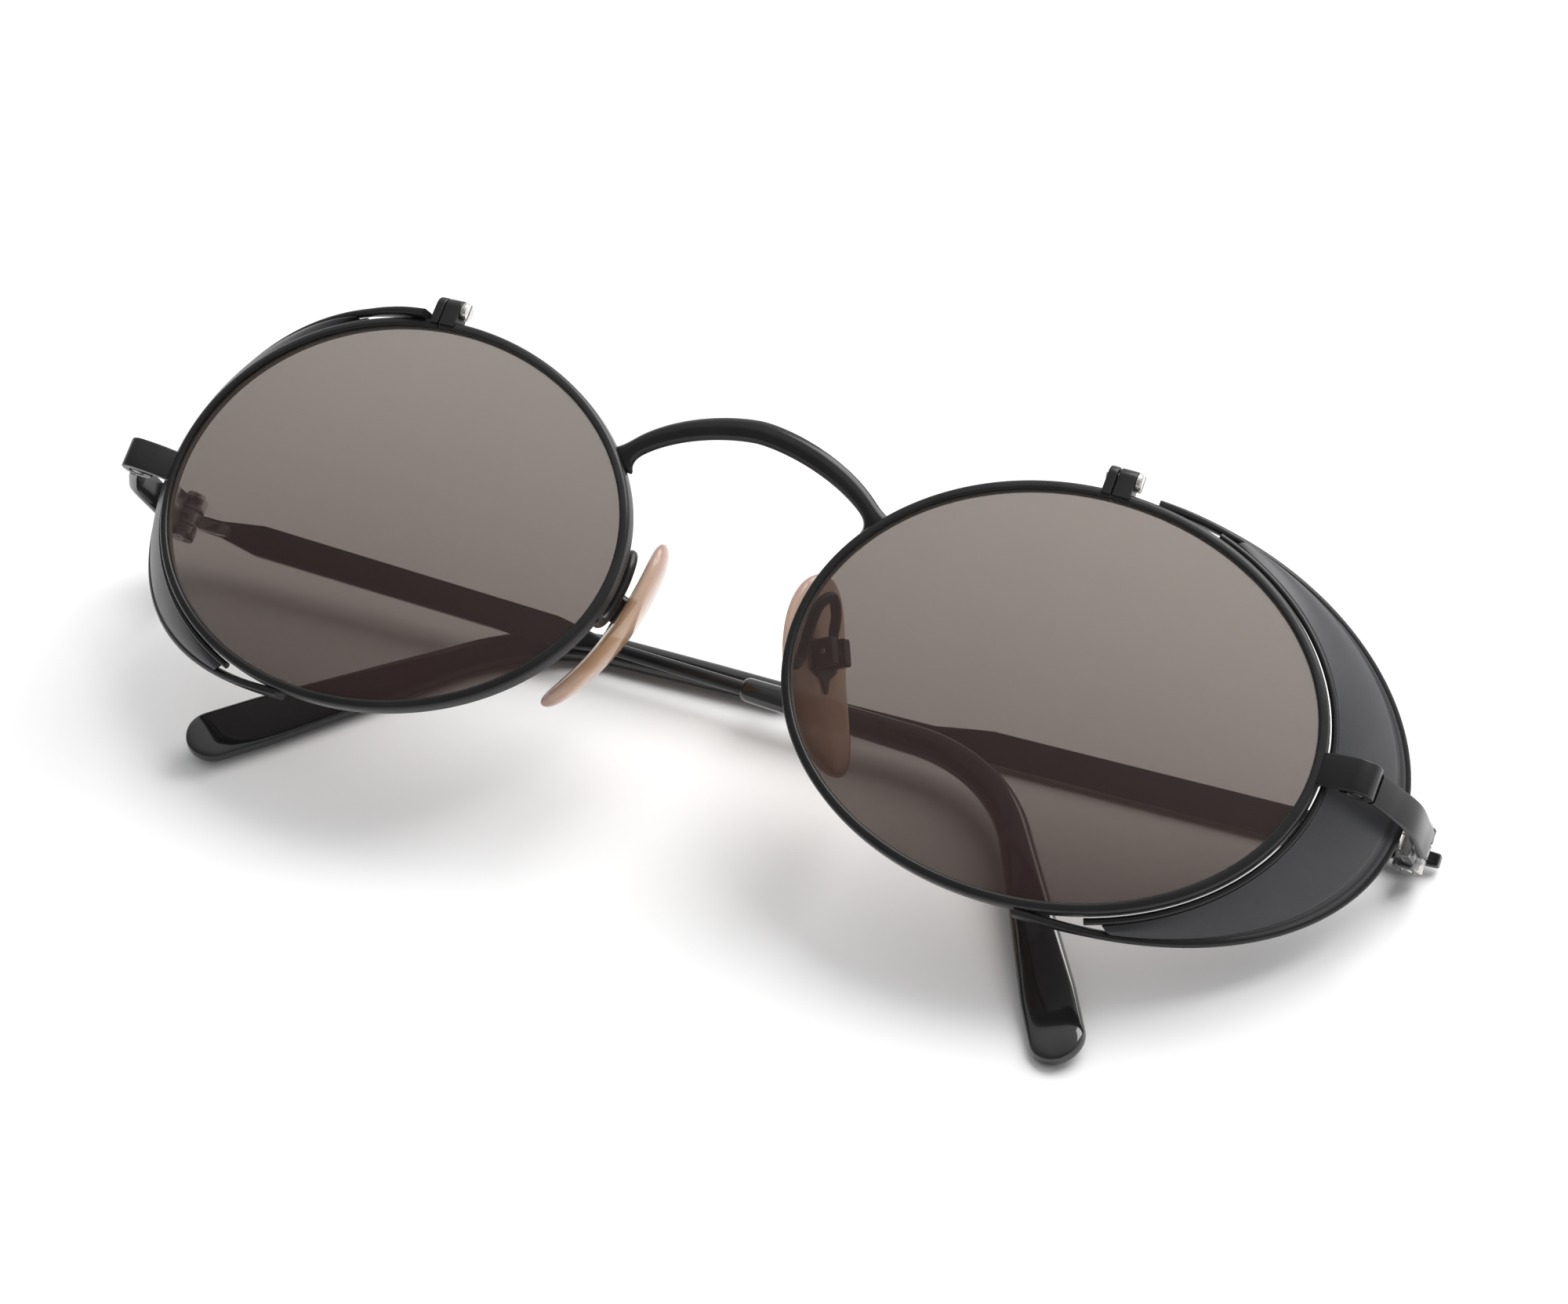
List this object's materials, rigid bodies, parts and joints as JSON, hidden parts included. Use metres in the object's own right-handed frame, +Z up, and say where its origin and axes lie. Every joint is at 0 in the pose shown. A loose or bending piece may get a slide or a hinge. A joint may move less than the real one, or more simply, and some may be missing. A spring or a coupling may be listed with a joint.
{
  "type": "glacier glasses",
  "caption": "Folding oval wire-rimmed sunglasses with dark tinted lenses, metal side shields, rocking nose pads and hinged temples with curved plastic tips.",
  "frame": {"origin": "on the table under the middle of the folded glasses' bounding box", "axes": "+X to the wearer's left along the front, +Y towards the brow and back from the viewer, +Z up from the table"},
  "size_m": [0.1396, 0.0452, 0.0359],
  "materials": {
    "black_metal": "black satin lacquer over metal wire",
    "bright_steel": "bare turned steel",
    "shield_sheet": "dark grey satin lacquer",
    "lens_tint": "grey-brown tinted, polished",
    "tip_plastic": "polished black",
    "pad_resin": "translucent peach resin"
  },
  "bodies": {
    "front": {"bridge": "black_metal", "rim_left": "black_metal", "lens_left": "lens_tint", "lock_inner_left": "black_metal", "lock_outer_left": "black_metal", "lock_screw_left": "bright_steel", "lug_left": "black_metal", "lug_pin_left": "black_metal", "link_left": "black_metal", "hinge_front_left": "bright_steel", "hinge_screw_left": "bright_steel", "shield_wire_left": "black_metal", "shield_lace_left": "black_metal", "shield_sheet_left": "shield_sheet", "pad_arm_left": "black_metal", "rim_right": "black_metal", "lens_right": "lens_tint", "lock_inner_right": "black_metal", "lock_outer_right": "black_metal", "lock_screw_right": "bright_steel", "lug_right": "black_metal", "lug_pin_right": "black_metal", "link_right": "black_metal", "hinge_front_right": "bright_steel", "hinge_screw_right": "bright_steel", "shield_wire_right": "black_metal", "shield_lace_right": "black_metal", "shield_sheet_right": "shield_sheet", "pad_arm_right": "black_metal"},
    "temple_left": {"hinge_temple_left": "bright_steel", "temple_bar_left": "black_metal", "temple_tip_left": "tip_plastic"},
    "nose_pad_left": {"pad_left": "pad_resin", "pad_core_left": "black_metal", "pad_pin_left": "bright_steel"},
    "temple_right": {"hinge_temple_right": "bright_steel", "temple_bar_right": "black_metal", "temple_tip_right": "tip_plastic"},
    "nose_pad_right": {"pad_right": "pad_resin", "pad_core_right": "black_metal", "pad_pin_right": "bright_steel"}
  },
  "joints": [
    {"name": "temple_hinge_left", "type": "hinge", "parent": "front", "child": "temple_left", "pos_m": [0.06757, 0.01321, 0.00302], "axis": [-0.0171, -0.8563, -0.5162], "range_deg": [0, 89]},
    {"name": "temple_hinge_right", "type": "hinge", "parent": "front", "child": "temple_right", "pos_m": [-0.06755, 0.01321, 0.0075], "axis": [0.0171, 0.8563, 0.5162], "range_deg": [0, 92]},
    {"name": "pad_rock_left", "type": "hinge", "parent": "front", "child": "nose_pad_left", "pos_m": [0.01189, 0.00588, 0.01663], "axis": [0.2774, 0.7155, -0.6412], "range_deg": [-10, 10]},
    {"name": "pad_rock_right", "type": "hinge", "parent": "front", "child": "nose_pad_right", "pos_m": [-0.01145, 0.00482, 0.01679], "axis": [0.3193, -0.7155, 0.6214], "range_deg": [-10, 10]}
  ]
}
